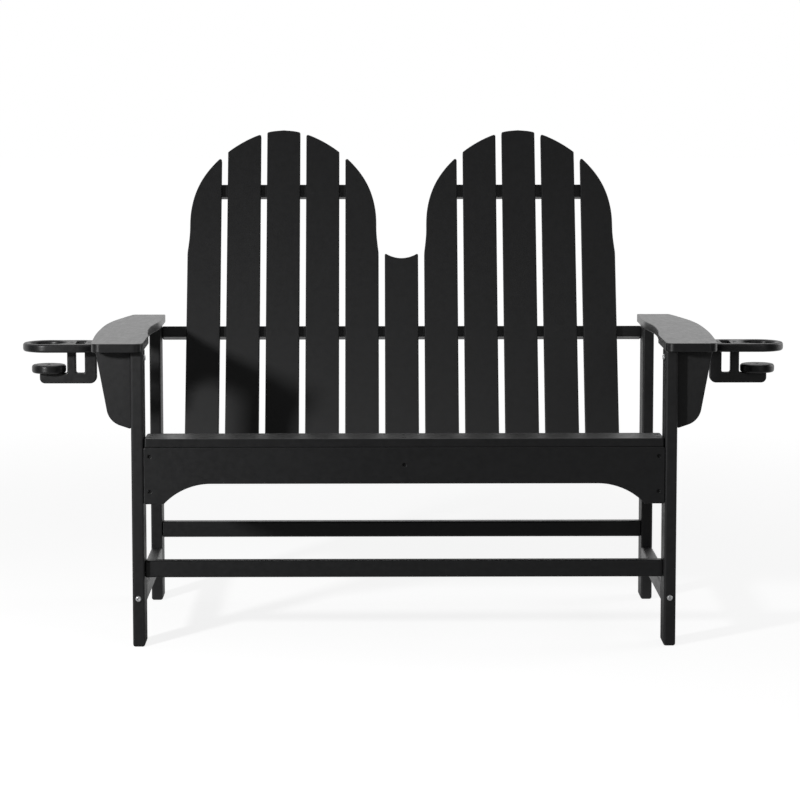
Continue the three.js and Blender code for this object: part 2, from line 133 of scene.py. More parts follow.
def walk(outline, inset):
    out = []
    for i, point in enumerate(outline):
        turn, u, v = turn_at(outline, i)
        before, after = Vector((u.y, -u.x)), Vector((v.y, -v.x))
        corner = Vector(point[:2]) - inset * (before + after) / (1 + before.dot(after))
        if not point[2]:
            out.append((corner, (before + after).normalized()))
            continue
        full = room_for_arc(outline, i, turn)
        r = max(SMALLEST_ARC, full - math.copysign(inset, turn))
        start = corner - u * r * math.tan(abs(turn) / 2)
        centre = start - before * math.copysign(r, turn)
        count = max(4, round(abs(turn) * math.sqrt(full) * 2))
        for k in range(count + 1):
            side = before.copy()
            side.rotate(Matrix.Rotation(turn * k / count, 2))
            out.append((centre + side * math.copysign(r, turn), side))
    return out


def rectangle(x0, y0, x1, y1):
    return [(x0, y0), (x1, y0), (x1, y1), (x0, y1)]


def around(count):
    return [2 * math.pi * k / count for k in range(count)]


def circle(x, y, radius, count):
    return [(x + radius * math.cos(a), y + radius * math.sin(a), 0.0) for a in around(count)]


def mirrored(points, sign):
    return list(points) if sign > 0 else [(-p[0], *p[1:]) for p in reversed(points)]


print("a leg's section has", len(walk(eased(rectangle(0, 0, STOCK, LEG_DEPTH)), 0)), "points")

# %% [markdown]
# ## The edge and the faces of a board
# A Bevel modifier would round the edges too, but then the flat faces take on a soft, pillowy
# shading at the corners. Here the edge is a quarter round of rings drawn in towards the face, so
# flats stay flat and edges catch one clean line of light. A wide opening is eased like the
# outline, and a drilled hole keeps a crisp rim. A face with holes in it is cut into triangles.

# %% Rings and faces
ROUNDS = 4
BORE, BORE_STEPS = 6.9, 28
SCREW_HOLE, SCREW_STEPS, SCREW_DEEP = 4.3, 16, 5.0
WIDE_OPENING = 2.5 * BORE


def edge_profile(thickness, ease):
    """Inset, height and slope of each ring, from the lower face up to the upper one."""
    quarter = [math.radians(90 * k / ROUNDS) for k in range(ROUNDS + 1)]
    lower = [(ease * (1 - math.cos(a)), ease * (1 - math.sin(a)), -a) for a in reversed(quarter)]
    return lower + [(inset, thickness - z, -angle) for inset, z, angle in reversed(lower)]


def filled(points, rings, top):
    """The flat face inside one ring, or between a ring and the holes in it."""
    if len(rings) == 1:
        return [tuple(rings[0] if top else reversed(rings[0]))]
    order = [i for ring in rings for i in ring]
    faces = []
    for tri in tessellate_polygon([[points[i].to_2d().to_3d() for i in ring] for ring in rings]):
        a, b, c = (order[i] for i in tri)
        up = (points[b] - points[a]).cross(points[c] - points[a]).z > 0
        faces.append((a, b, c) if up == top else (a, c, b))
    return faces


def screw_holes(spots):
    return [circle(x, y, SCREW_HOLE, SCREW_STEPS) for x, y in spots]


print("an edge is made of", len(edge_profile(BOARD, EASE)), "rings")

# %% [markdown]
# ## What a board remembers
# Plastic lumber has a grain that runs along each board however the board is laid, so every point
# keeps its own place on the board, length first, and a random shift makes each board differ.
# Three more attributes mark the eased edges, say how smoothly a face was cut, and which way its
# grain runs, since a planed face shines more than a raw one.

# %% Make a board
CUT_SMOOTH, PLANED, POLISHED = 0.35, 0.8, 1.0
END_GRAIN = 0.7
made = []


def remember(mesh, name, kind, values):
    data = mesh.attributes.new(name, kind, "POINT").data
    data.foreach_set("vector" if kind == "FLOAT_VECTOR" else "value", values)


def mark_board(mesh, points, normals, rims, planed):
    spans = [max(p[k] for p in points) - min(p[k] for p in points) for k in range(3)]
    long, wide, thin = sorted(range(3), key=lambda k: -spans[k])
    shift = random.Random(len(made) * 7 + 3).uniform(0, 3)
    places = [(p[long] * MM + shift, p[wide] * MM + shift / 3, p[thin] * MM) for p in points]
    ways = [wide if abs(n[long]) > END_GRAIN else long for n in normals]
    remember(mesh, "board", "FLOAT_VECTOR", [v for place in places for v in place])
    remember(mesh, "rim", "FLOAT", rims)
    remember(mesh, "smooth", "FLOAT", [max(planed, CUT_SMOOTH * (1 - abs(n[thin]))) for n in normals])
    remember(mesh, "grain_way", "FLOAT_VECTOR", [float(k == way) for way in ways for k in range(3)])


def board_mesh(name, outline, thickness, holes=(), planed=0.0, ease=EASE):
    points, normals, faces, rims, under, over = [], [], [], [], [], []
    for loop in [outline] + [list(reversed(hole)) for hole in holes]:
        base, n = len(points), len(walk(loop, 0))
        across = max(p[0] for p in loop) - min(p[0] for p in loop)
        profile = edge_profile(thickness, ease if across > WIDE_OPENING else DRILLED)
        for inset, z, slope in profile:
            for q, side in walk(loop, inset):
                points.append(Vector((q.x, q.y, z)))
                normals.append(Vector((side.x * math.cos(slope), side.y * math.cos(slope), math.sin(slope))))
                rims.append(math.sin(2 * abs(slope)))
        last = base + (len(profile) - 1) * n
        for row in range(base, last, n):
            for i in range(n):
                a, b = row + i, row + (i + 1) % n
                faces.append((a, b, b + n, a + n))
        under.append(list(range(base, base + n)))
        over.append(list(range(last, last + n)))
    mesh = bpy.data.meshes.new(name)
    faces += filled(points, under, False) + filled(points, over, True)
    mesh.from_pydata([tuple(p) for p in points], [], faces)
    mesh.polygons.foreach_set("use_smooth", [True] * len(mesh.polygons))
    mesh.normals_split_custom_set_from_vertices([tuple(n) for n in normals])
    mark_board(mesh, points, normals, rims, planed)
    return mesh


print("screw holes are", 2 * SCREW_HOLE, "mm wide and bores", 2 * BORE, "mm")

# %% [markdown]
# ## Laying a board
# A board is drawn flat and then laid: flat as it is, stood up facing the front, or set on edge
# with its length running across the bench. Its place goes into its mesh, and its normals and its
# grain turn with it. The piece then takes the place of the frame's node of the same name.

# %% Lay a board
ON_EDGE = Matrix(((0, 0, 1, 0), (1, 0, 0, 0), (0, 1, 0, 0), (0, 0, 0, 1)))


def on_edge(x):
    return BENCH @ Matrix.Translation((x, 0, 0)) @ ON_EDGE


def facing(thickness):
    return Matrix(((1, 0, 0, 0), (0, 0, -1, thickness), (0, 1, 0, 0), (0, 0, 0, 1)))


def keep(piece, nodes):
    bpy.context.collection.objects.link(piece)
    if nodes:
        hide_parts(*nodes)
    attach(piece, "root")
    made.append(piece.name)


def lay_board(node, outline, thickness, place, holes=(), planed=0.0, ease=EASE):
    mesh = board_mesh("fine_" + node, outline, thickness, holes, planed, ease)
    turn = place.to_3x3().normalized()
    normals = [turn @ Vector(n.vector) for n in mesh.corner_normals]
    mesh.transform(place)
    mesh.normals_split_custom_set([tuple(n) for n in normals])
    for item in mesh.attributes["grain_way"].data:
        item.vector = turn @ item.vector
    mesh.materials.append(poly)
    keep(bpy.data.objects.new("fine_" + node, mesh), [node])


print("boards are", BOARD, "mm thick and the legs' stock", STOCK, "mm")

# %% [markdown]
# ## Helpers for node trees
# Materials and the tree that lays copies are wired by script, and a few helpers keep that short.
# The main one feeds a socket: a number or a colour is set on it, another node's output is wired
# to it. The others make the few kinds of node that come back again and again.

# %% Helpers for node trees
def socket(tree, name, kind, into=True, value=None):
    added = tree.interface.new_socket(name=name, in_out="INPUT" if into else "OUTPUT", socket_type=kind)
    if value is not None:
        added.default_value = value


def add(tree, kind, x=0, y=0, **settings):
    node = tree.nodes.new(kind)
    node.location = (x, y)
    for key, value in settings.items():
        setattr(node, key, value)
    return node


def feed(tree, value, target):
    if isinstance(value, bpy.types.NodeSocket):
        tree.links.new(value, target)
    else:
        target.default_value = value


def math_node(tree, operation, a, b, x=0, y=0, clamp=False):
    node = add(tree, "ShaderNodeMath", x, y, operation=operation, use_clamp=clamp)
    feed(tree, a, node.inputs[0])
    feed(tree, b, node.inputs[1])
    return node.outputs[0]


def line(tree, value, slope, start, x, y):
    """The value times a slope, plus a start."""
    risen = math_node(tree, "MULTIPLY", value, slope, x, y)
    return math_node(tree, "ADD", risen, start, x + 200, y)


def shares(tree, a, share_a, b, share_b, x, y):
    """Two values added up, each with its share."""
    first = math_node(tree, "MULTIPLY", a, share_a, x, y)
    second = math_node(tree, "MULTIPLY", b, share_b, x, y - 100)
    return math_node(tree, "ADD", first, second, x + 200, y)


def noise(tree, where, scale, detail, x, y):
    node = add(tree, "ShaderNodeTexNoise", x, y)
    feed(tree, where, node.inputs["Vector"])
    feed(tree, scale, node.inputs["Scale"])
    feed(tree, detail, node.inputs["Detail"])
    return node


def ramp(tree, value, limits, x, y):
    """The value mapped softly from the first two limits to the last two."""
    node = add(tree, "ShaderNodeMapRange", x, y, interpolation_type="SMOOTHSTEP")
    feed(tree, value, node.inputs["Value"])
    for key, limit in zip(("From Min", "From Max", "To Min", "To Max"), limits):
        feed(tree, limit, node.inputs[key])
    return node.outputs[0]


print("helpers ready:", ", ".join(f.__name__ for f in (math_node, line, shares, noise, ramp)))

# %% [markdown]
# ## Surface of extruded lumber
# Poly lumber is coloured right through and extruded, so its surface is satin with faint streaks
# along the board, a fine pebble and a soft mottle about a centimetre across. All three are one
# node group, since the boards and the dark screws both carry it. The group gives out only a tone,
# a height and a sheen; the shader itself stays in each material.

# %% Grain group
grain = bpy.data.node_groups.new("extruded_grain", "ShaderNodeTree")
socket(grain, "Place", "NodeSocketVector")
for name, size in (("Streak Length", 0.09), ("Streak Width", 0.0011), ("Pebble", 0.0009)):
    socket(grain, name, "NodeSocketFloat", value=size)
for name in ("Tone", "Height", "Sheen"):
    socket(grain, name, "NodeSocketFloat", into=False)
g_in, g_out = add(grain, "NodeGroupInput", -900), add(grain, "NodeGroupOutput", 700)
where = g_in.outputs["Place"]
stretch = add(grain, "ShaderNodeCombineXYZ", -700, 100)
for index, size in enumerate(("Streak Length", "Streak Width", "Streak Width")):
    per_metre = math_node(grain, "DIVIDE", 1.0, g_in.outputs[size], -800, 200 - 80 * index)
    feed(grain, per_metre, stretch.inputs[index])
drawn = add(grain, "ShaderNodeVectorMath", -500, 100, operation="MULTIPLY")
feed(grain, where, drawn.inputs[0])
feed(grain, stretch.outputs[0], drawn.inputs[1])
streaks = noise(grain, drawn.outputs[0], 1.0, 3.0, -300, 150)
feed(grain, 0.62, streaks.inputs["Roughness"])
pebble_scale = math_node(grain, "DIVIDE", 1.0, g_in.outputs["Pebble"], -500, -150)
pebble = noise(grain, where, pebble_scale, 2.0, -300, -100)
cloud = noise(grain, where, 1.7, 2.0, -300, -350)
mottle = noise(grain, where, 85.0, 2.0, -300, -600)
sheen = shares(grain, streaks.outputs[0], 0.4, mottle.outputs[0], 0.6, 0, -500)
fine = shares(grain, streaks.outputs[0], 0.65, pebble.outputs[0], 0.35, 0, 150)
broad = shares(grain, cloud.outputs[0], 0.3, mottle.outputs[0], 0.45, 0, -300)
weak = math_node(grain, "MULTIPLY", fine, 0.25, 350, 0)
feed(grain, math_node(grain, "ADD", weak, broad, 500, 0, clamp=True), g_out.inputs["Tone"])
feed(grain, fine, g_out.inputs["Height"])
feed(grain, sheen, g_out.inputs["Sheen"])
print("surface group:", grain.name)

# %% [markdown]
# ## Settled dust
# A trace of dust lies on whatever faces up. Its mask is the upward part of the normal, sharpened
# by a power so that sloping faces keep none, and broken up by a noise. All three materials use it.

# %% Dust group
dust = bpy.data.node_groups.new("settled_dust", "ShaderNodeTree")
socket(dust, "Amount", "NodeSocketFloat", value=0.1)
socket(dust, "Speck Scale", "NodeSocketFloat", value=60.0)
socket(dust, "Mask", "NodeSocketFloat", into=False)
d_in, d_out = add(dust, "NodeGroupInput", -700), add(dust, "NodeGroupOutput", 500)
up = add(dust, "ShaderNodeSeparateXYZ", -500, 100)
feed(dust, add(dust, "ShaderNodeNewGeometry", -700, 150).outputs["Normal"], up.inputs[0])
level = math_node(dust, "MAXIMUM", up.outputs[2], 0.0, -300, 100)
lying = math_node(dust, "POWER", level, 3.0, -150, 100)
where = add(dust, "ShaderNodeTexCoord", -700, -200).outputs["Object"]
speck = noise(dust, where, d_in.outputs["Speck Scale"], 4.0, -300, -150)
mask = math_node(dust, "MULTIPLY", lying, speck.outputs[0], 0, 0)
mask = math_node(dust, "MULTIPLY", mask, d_in.outputs["Amount"], 200, 0, clamp=True)
feed(dust, mask, d_out.inputs["Mask"])
print("surface group:", dust.name)

# %% [markdown]
# ## Black lumber
# The black is never quite black: it is a very dark grey a little lighter in the streaks, and along
# the eased edges a lighter grey is painted in as a highlight where the rounding catches the light.
# Its gloss matters more than its colour, because seen along the surface, as the arms and the seat
# are, the boards mirror the white round them. The shine is stretched across the grain, and so the seat shows
# the gaps between the slats as streaks.

# %% Black lumber
DUST_GREY = (0.32, 0.31, 0.29)


def new_material(name):
    material = bpy.data.materials.new(name)
    material.use_nodes = True
    tree = material.node_tree
    return material, tree, tree.nodes["Principled BSDF"]


def mix_colour(tree, mask_out, a, b, x, y):
    node = add(tree, "ShaderNodeMix", x, y, data_type="RGBA")
    feed(tree, mask_out, node.inputs[0])
    for index, value in ((6, a), (7, b)):
        feed(tree, (*value, 1) if isinstance(value, tuple) else value, node.inputs[index])
    return node.outputs[2]


def group_node(tree, group, x, y, **values):
    node = add(tree, "ShaderNodeGroup", x, y, node_tree=group)
    for key, value in values.items():
        feed(tree, value, node.inputs[key.replace("_", " ")])
    return node


def dusted(tree, colour, amount, scale):
    film = group_node(tree, dust, -900, -600, Amount=amount, Speck_Scale=scale)
    return mix_colour(tree, film.outputs["Mask"], colour, DUST_GREY, -300, 200)


def remembered(tree, name, y):
    return add(tree, "ShaderNodeAttribute", -1300, y, attribute_name=name)


poly, tree, shader = new_material("black_poly_lumber")
surface = group_node(tree, grain, -1050, 0, Streak_Length=0.11, Streak_Width=0.0012, Pebble=0.0007)
feed(tree, remembered(tree, "board", 0).outputs["Vector"], surface.inputs["Place"])
smooth = remembered(tree, "smooth", -200).outputs["Fac"]
# Painted highlight: the rim mark lightens the colour halfway round each eased edge, where the rounding
# catches the light.
edge_highlight = math_node(tree, "MULTIPLY", remembered(tree, "rim", -400).outputs["Fac"], 0.35, -900, -400)
deep, pale, highlight_grey = (0.0022, 0.0023, 0.0026), (0.0192, 0.0194, 0.0204), (0.040, 0.040, 0.042)
colour = mix_colour(tree, surface.outputs["Tone"], deep, pale, -700, 200)
colour = mix_colour(tree, edge_highlight, colour, highlight_grey, -500, 200)
feed(tree, dusted(tree, colour, 0.035, 45.0), shader.inputs["Base Color"])
rough = line(tree, surface.outputs["Sheen"], 0.30, 0.36, -700, -100)
smoother = math_node(tree, "MULTIPLY", smooth, 0.13, -700, -200)
feed(tree, math_node(tree, "SUBTRACT", rough, smoother, -300, -100), shader.inputs["Roughness"])
feed(tree, 0.5, shader.inputs["Anisotropic"])
feed(tree, 0.25, shader.inputs["Anisotropic Rotation"])
feed(tree, remembered(tree, "grain_way", -600).outputs["Vector"], shader.inputs["Tangent"])
bump = add(tree, "ShaderNodeBump", -400, -300)
feed(tree, 0.35, bump.inputs["Strength"])
feed(tree, 0.0004, bump.inputs["Distance"])
flat = math_node(tree, "MULTIPLY", smooth, 0.85, -900, -500)
rest = math_node(tree, "SUBTRACT", 1.0, flat, -750, -500)
height = math_node(tree, "MULTIPLY", surface.outputs["Height"], rest, -600, -400)
feed(tree, height, bump.inputs["Height"])
feed(tree, bump.outputs["Normal"], shader.inputs["Normal"])
print("material:", poly.name)

# %% [markdown]
# ## Bright steel and dark screws
# The bolts are plain stainless steel, whose brushed skin is a very fine noise in colour and gloss.
# The screws are blackened to match the lumber and share its grain group at a much smaller size.

# %% Steel and screws
steel, tree, shader = new_material("stainless_bolt")
where = add(tree, "ShaderNodeTexCoord", -1100, 100).outputs["Object"]
brushed = noise(tree, where, 900.0, 2.0, -900, 100).outputs[0]
colour = mix_colour(tree, brushed, (0.68, 0.69, 0.70), (0.84, 0.85, 0.86), -500, 200)
feed(tree, dusted(tree, colour, 0.05, 120.0), shader.inputs["Base Color"])
feed(tree, line(tree, brushed, 0.14, 0.26, -500, 0), shader.inputs["Roughness"])
feed(tree, 0.65, shader.inputs["Metallic"])

dark, tree, shader = new_material("blackened_screw")
skin = group_node(tree, grain, -900, 0, Streak_Length=0.002, Streak_Width=0.0006, Pebble=0.0004)
feed(tree, add(tree, "ShaderNodeTexCoord", -1100, 0).outputs["Object"], skin.inputs["Place"])
colour = mix_colour(tree, skin.outputs["Tone"], (0.004, 0.004, 0.004), (0.012, 0.012, 0.013), -500, 200)
feed(tree, dusted(tree, colour, 0.02, 150.0), shader.inputs["Base Color"])
feed(tree, line(tree, skin.outputs["Sheen"], 0.2, 0.4, -500, 0), shader.inputs["Roughness"])
feed(tree, 0.2, shader.inputs["Metallic"])
print("materials:", steel.name, dark.name)

# %% [markdown]
# ## Legs and stretchers
# Four plain boards stand on edge, and bars tie them near the ground: one between each pair across
# the bench, and one along each side. A rectangle on the drawing is all they need. Each leg has one
# wide bore in its outer side, because the bolts that hold the cross bars are sunk out of sight.

# %% Legs and stretchers
BAR_HEIGHT, CROSS_FOOT, SIDE_FOOT = 38.0, 153.0, 90.0
FRONT_BAR_Y, REAR_BAR_Y = 22.0, LEG_SETBACK + 8
CROSS_Z = CROSS_FOOT + BAR_HEIGHT / 2
ACROSS = LEG_INSIDE - GAP
for word, sign in SIDES:
    x = LEG_INSIDE if sign > 0 else -LEG_FACE
    for leg, y, bar_y in (("front_leg_", 0.0, FRONT_BAR_Y), ("rear_leg_", LEG_SETBACK, REAR_BAR_Y)):
        side = eased(rectangle(y, 0, y + LEG_DEPTH, LEG_HEIGHT))
        bore = circle(bar_y + STOCK / 2, CROSS_Z, BORE, BORE_STEPS)
        lay_board(leg + word, side, STOCK, on_edge(x), [bore], 0.0, LEG_EASE)
    section = eased(rectangle(x, SIDE_FOOT, x + STOCK, SIDE_FOOT + BAR_HEIGHT))
    length = LEG_SETBACK - LEG_DEPTH - 2 * GAP
    start = Matrix.Translation((0, LEG_DEPTH + GAP, 0))
    lay_board("side_stretcher_" + word, section, length, BENCH @ start @ facing(length))
for node, y in (("front_stretcher", FRONT_BAR_Y), ("rear_stretcher", REAR_BAR_Y)):
    section = eased(rectangle(y, CROSS_FOOT, y + STOCK, CROSS_FOOT + BAR_HEIGHT))
    lay_board(node, section, 2 * ACROSS, on_edge(-ACROSS), (), PLANED)
print("legs and stretchers:", len(made))

# %% [markdown]
# ## The seat's contour
# A good wooden seat isn't flat. Its front board is level and the others tip down towards the back.
# The rails are cut to that broken line, and the boards lie on it. How deep a board is follows from
# the room between the front edge and the leaning slats, shared by five equal boards.

# %% Contour of the seat
TILTS = [math.radians(a) for a in (0, 8, 10, 11, 11)]
SEAT_GAP, UNDERSIDE, SEAT_FRONT, SEAT_TO_SLATS = 8.0, 449.0, 2.0, 17.9


def slat_plane(z):
    return BACK_Y + (z - BACK_Z) * math.tan(LEAN)


seat_start = SEAT_FRONT - SEAT_GAP / 2
room = slat_plane(UNDERSIDE + BOARD) - SEAT_TO_SLATS - seat_start
SEAT_PITCH = room / (sum(map(math.cos, TILTS)) + sum(map(math.sin, TILTS)) * math.tan(LEAN))
contour = [(seat_start, UNDERSIDE)]
for tilt in TILTS:
    y, z = contour[-1]
    contour.append((y + SEAT_PITCH * math.cos(tilt), z - SEAT_PITCH * math.sin(tilt)))


def height_at(edge, x):
    """The height of a broken line at x; its first and last stretches go on beyond its ends."""
    i = 1
    while i < len(edge) - 1 and edge[i][0] < x:
        i += 1
    (xa, ya), (xb, yb) = edge[i - 1], edge[i]
    return ya + (yb - ya) * (x - xa) / (xb - xa)


print("seat boards are", round(SEAT_PITCH - SEAT_GAP, 1), "mm deep; the contour drops",
      round(contour[0][1] - contour[-1][1], 1), "mm")

# %% [markdown]
# ## Rails under the seat
# Two side rails lie against the legs and one runs down the middle, each with its top cut to the
# contour. A cross rail behind the seat ties them. From the photograph's side they are hidden, but
# they show from behind and from below, and without them the seat would hang in the air.

# %% Rails cut to the contour
SIDE_RAIL, CENTRE_RAIL, REAR_RAIL, RAIL_TO_SLATS = 92.0, 76.0, 68.0, 2.5


def rail_outline(y0, y1, height):
    stops = [p[0] for p in contour if y0 + BOARD < p[0] < y1 - BOARD]
    top = [(y, height_at(contour, y) - GAP) for y in [y0, *stops, y1]]
    return eased([(y0, UNDERSIDE - height), (y1, height_at(contour, y1) - height), *reversed(top)])


rail_front = BOARD + GAP
rear_y = slat_plane(contour[-1][1] - REAR_RAIL) - RAIL_TO_SLATS - BOARD
for word, sign in SIDES:
    x = LEG_INSIDE - GAP - STOCK if sign > 0 else GAP - LEG_INSIDE
    outline = rail_outline(rail_front, LEG_SETBACK + LEG_DEPTH - EASE, SIDE_RAIL)
    lay_board("seat_rail_" + word, outline, STOCK, on_edge(x))
outline = rail_outline(rail_front, rear_y - GAP, CENTRE_RAIL)
lay_board("seat_rail_centre", outline, STOCK, on_edge(-STOCK / 2))
BETWEEN = LEG_INSIDE - STOCK - 2 * GAP
top = height_at(contour, rear_y) - GAP
drop = height_at(contour, rear_y + BOARD) - height_at(contour, rear_y)
outline = eased([(rear_y, top - REAR_RAIL), (rear_y + BOARD, top - REAR_RAIL),
                 (rear_y + BOARD, top + drop), (rear_y, top)])
lay_board("seat_rail_rear", outline, 2 * BETWEEN, on_edge(-BETWEEN))
print("rails made, the rear one at y =", round(rear_y, 1))

# %% [markdown]
# ## A tree that lays copies on points
# The tree below serves the seat boards, the bolts and all the screws. It reads two attributes of
# each point, which way is up and which way is along, copies one object there, turns the copies
# into real mesh and gives them their finish. A fixed seed spins each screw by its own amount, as
# a driver leaves them, and a spin of zero keeps boards and bolts square.

# %% Copies on points
copies = bpy.data.node_groups.new("copies_on_points", "GeometryNodeTree")
for name, kind, value in (("Points", "Geometry", None), ("Copy", "Object", None), ("Size", "Float", 1.0),
                          ("Spin", "Float", 0.0), ("Seed", "Int", 4), ("Finish", "Material", None)):
    socket(copies, name, "NodeSocket" + kind, value=value)
socket(copies, "Copies", "NodeSocketGeometry", into=False)
c_in, c_out = add(copies, "NodeGroupInput", -900), add(copies, "NodeGroupOutput", 900)
upward = add(copies, "GeometryNodeInputNamedAttribute", -700, 200, data_type="FLOAT_VECTOR")
feed(copies, "up", upward.inputs["Name"])
sideways = add(copies, "GeometryNodeInputNamedAttribute", -700, 0, data_type="FLOAT_VECTOR")
feed(copies, "along", sideways.inputs["Name"])
stand = add(copies, "FunctionNodeAlignRotationToVector", -450, 200, axis="Z")
feed(copies, upward.outputs[0], stand.inputs["Vector"])
square = add(copies, "FunctionNodeAlignRotationToVector", -250, 200, axis="X", pivot_axis="Z")
feed(copies, stand.outputs[0], square.inputs["Rotation"])
feed(copies, sideways.outputs[0], square.inputs["Vector"])
chance = add(copies, "FunctionNodeRandomValue", -450, -200, data_type="FLOAT")
feed(copies, c_in.outputs["Spin"], chance.inputs[3])
feed(copies, c_in.outputs["Seed"], chance.inputs["Seed"])
spin = add(copies, "FunctionNodeAxisAngleToRotation", -250, -200)
feed(copies, (0, 0, 1), spin.inputs[0])
feed(copies, chance.outputs[1], spin.inputs[1])
turned = add(copies, "FunctionNodeRotateRotation", -50, 100, rotation_space="LOCAL")
feed(copies, square.outputs[0], turned.inputs[0])
feed(copies, spin.outputs[0], turned.inputs[1])
model = add(copies, "GeometryNodeObjectInfo", -250, -450)
feed(copies, c_in.outputs["Copy"], model.inputs[0])
laid = add(copies, "GeometryNodeInstanceOnPoints", 200, 100)
feed(copies, c_in.outputs["Points"], laid.inputs["Points"])
feed(copies, model.outputs["Geometry"], laid.inputs["Instance"])
feed(copies, turned.outputs[0], laid.inputs["Rotation"])
feed(copies, c_in.outputs["Size"], laid.inputs["Scale"])
real = add(copies, "GeometryNodeRealizeInstances", 400, 100)
feed(copies, laid.outputs[0], real.inputs[0])
finish = add(copies, "GeometryNodeSetMaterial", 600, 100)
feed(copies, real.outputs[0], finish.inputs[0])
feed(copies, c_in.outputs["Finish"], finish.inputs["Material"])
feed(copies, finish.outputs[0], c_out.inputs[0])
print("tree:", copies.name, "with", len(copies.nodes), "nodes")

# %% [markdown]
# ## Using the tree
# The points are a mesh of loose vertices that carries the tree as a modifier. Its inputs are set
# by their identifiers before anything is evaluated. The result is taken off as a plain mesh, with
# weighted normals so that flat faces stay flat, and the points are thrown away.

# %% Lay copies
def lay_copies(name, spots, model_object, material, nodes=(), turn=0.0, seed=4):
    """spots holds (place, up, along) in metres for each copy."""
    mesh = bpy.data.meshes.new(name + "_points")
    mesh.from_pydata([tuple(s[0]) for s in spots], [], [])
    for key, index in (("up", 1), ("along", 2)):
        remember(mesh, key, "FLOAT_VECTOR", [v for s in spots for v in s[index]])
    holder = bpy.data.objects.new(name + "_points", mesh)
    bpy.context.collection.objects.link(holder)
    modifier = holder.modifiers.new("copies", "NODES")
    modifier.node_group = copies
    values = {"Copy": model_object, "Size": 1.0, "Spin": turn, "Seed": seed, "Finish": material}
    for item in copies.interface.items_tree:
        if item.in_out == "INPUT" and item.name in values:
            modifier[item.identifier] = values[item.name]
    holder.modifiers.new("clean_normals", "WEIGHTED_NORMAL").keep_sharp = True
    graph = bpy.context.evaluated_depsgraph_get()
    result = bpy.data.meshes.new_from_object(holder.evaluated_get(graph))
    result.name = name
    bpy.data.objects.remove(holder)
    keep(bpy.data.objects.new(name, result), nodes)
    print(name, "copies:", len(spots), "faces:", len(result.polygons))


# %% [markdown]
# ## Seat boards
# One board is made with its screw holes, the six places where it crosses the rails, and laid five
# times along the contour with its tilt. The holes are real, so each screw head can sit 5 mm deep.

# %% Seat boards
ACROSS_X = (1, 0, 0)
SCREW_SHARES, SEAT_SHORT = (0.26, 0.74), 2.0
seat_depth = SEAT_PITCH - SEAT_GAP
seat_half = LEG_INSIDE - SEAT_SHORT
rail_x = LEG_INSIDE - GAP - STOCK / 2
seat_screws = [(x, seat_depth * share) for x in (-rail_x, 0.0, rail_x) for share in SCREW_SHARES]
seat_outline = eased(rectangle(-seat_half, 0, seat_half, seat_depth))
sample = board_mesh("seat_board", seat_outline, BOARD, screw_holes(seat_screws), POLISHED, CRISP_EASE)
sample.transform(Matrix.Scale(MM, 4))
sample_board = bpy.data.objects.new("seat_board_sample", sample)
seat_spots, screw_spots = [], []
for i, tilt in enumerate(TILTS):
    y = contour[i][0] + SEAT_GAP / 2 * math.cos(tilt)
    z = contour[i][1] - SEAT_GAP / 2 * math.sin(tilt)
    turn = Matrix.Rotation(-tilt, 4, "X")
    up = turn @ Vector((0, 0, 1))
    seat_spots.append((BENCH @ Vector((0, y, z)), up, ACROSS_X))
    spot = BENCH @ Matrix.Translation((0, y, z)) @ turn
    screw_spots += [(spot @ Vector((sx, sy, BOARD - SCREW_DEEP)), up, ACROSS_X) for sx, sy in seat_screws]
lay_copies("fine_seat_boards", seat_spots, sample_board, poly, ["seat_board_%d" % (i + 1) for i in range(5)])

# %% [markdown]
# ## Front apron
# The apron closes the seat's front. Its lower edge rises in a quarter-round sweep at each end to a
# long straight middle, and five screws hold it to the three rails.

# %% Front apron
APRON_HEIGHT, APRON_END = 127.0, 44.0
SWEEP_RISE, SWEEP_RADIUS, SWEEP_STEPS, SWEEP_CORNER = 45.5, 144.0, 24, 5.0
SIDE_SCREWS_DOWN, MIDDLE_SCREW_DOWN = (20, 99), 39
apron_top = UNDERSIDE - GAP
apron_foot = apron_top - APRON_HEIGHT
sweep = math.acos(1 - SWEEP_RISE / SWEEP_RADIUS)
sweep_in = ACROSS - APRON_END - SWEEP_RADIUS * math.sin(sweep)
arch = []
for k in range(SWEEP_STEPS + 1):
    a = sweep * (1 - k / SWEEP_STEPS)
    z = apron_foot + SWEEP_RISE - SWEEP_RADIUS * (1 - math.cos(a))
    arch.append((sweep_in + SWEEP_RADIUS * math.sin(a), z, 0.0 if k else SWEEP_CORNER))
outline = [(-x, z, r) for x, z, r in arch] + list(reversed(arch))
outline += [(ACROSS, apron_foot), (ACROSS, apron_top), (-ACROSS, apron_top), (-ACROSS, apron_foot)]
apron_screws = [(x, apron_top - down) for x in (-rail_x, rail_x) for down in SIDE_SCREWS_DOWN]
apron_screws.append((0.0, apron_top - MIDDLE_SCREW_DOWN))
lay_board("front_apron", eased(outline), BOARD, BENCH @ facing(BOARD), screw_holes(apron_screws),
          PLANED, CRISP_EASE)
screw_spots += [(BENCH @ Vector((x, SCREW_DEEP, z)), (0, -1, 0), ACROSS_X) for x, z in apron_screws]
print("apron foot at", round(apron_foot, 1), "mm, screws:", len(apron_screws))

# %% [markdown]
# ## Two fans of slats
# All eleven slats are the same width and stand in one leaning plane. What makes them two fans is
# the saw: each group of five is cut to one arch, round above and easing out to the full width with
# a soft shoulder, while the middle slat is short and dished. So one arch is drawn, and every slat
# takes the stretch of it that lies above its own width.

